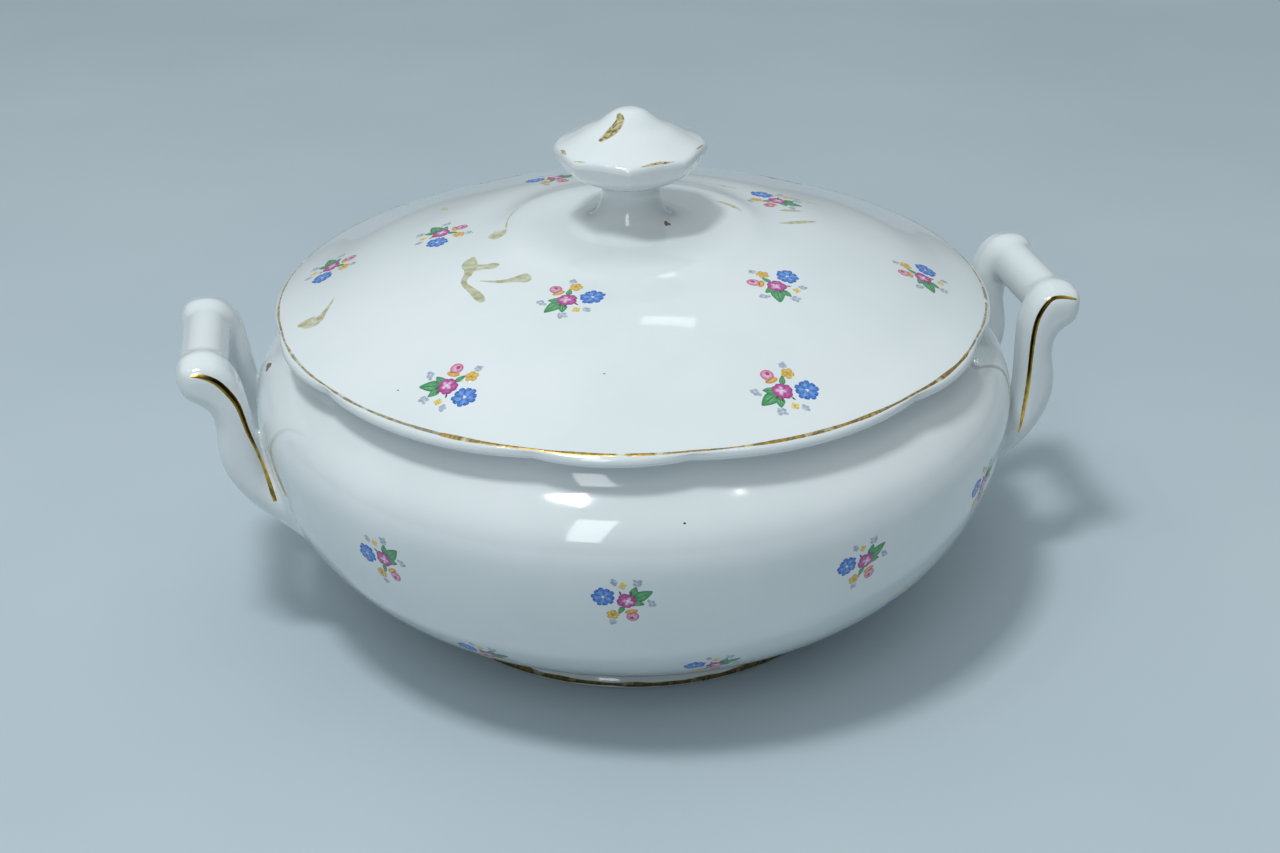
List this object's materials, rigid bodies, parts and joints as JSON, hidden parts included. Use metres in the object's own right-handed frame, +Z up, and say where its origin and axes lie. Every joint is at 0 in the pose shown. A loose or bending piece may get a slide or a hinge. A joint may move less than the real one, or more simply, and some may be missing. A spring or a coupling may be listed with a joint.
{
  "type": "soup tureen",
  "caption": "Round covered porcelain tureen with loop handles, a lift-off domed lid with a lobed knob, floral decoration and gilt lines.",
  "frame": {"origin": "under the middle of the foot ring, on the surface the tureen stands on", "axes": "+Z up, the two handles on +X and -X"},
  "size_m": [0.3026, 0.2574, 0.172],
  "materials": {
    "porcelain": "gloss",
    "gilding": "polished",
    "overglaze_flowers": "gloss"
  },
  "bodies": {
    "tureen": {"bowl_body": "porcelain", "foot_ring": "porcelain", "right_handle": "porcelain", "left_handle": "porcelain", "foot_gilding": "gilding", "right_handle_gilding": "gilding", "left_handle_gilding": "gilding"},
    "lid": {"lid_dome": "porcelain", "lid_locating_flange": "porcelain", "lid_knob": "porcelain", "lid_rim_gilding": "gilding", "knob_gilding": "gilding"}
  },
  "joints": [
    {"name": "lid_lift", "type": "slide", "parent": "tureen", "child": "lid", "axis": [0, 0, 1], "range_m": [0, 0.12]}
  ]
}
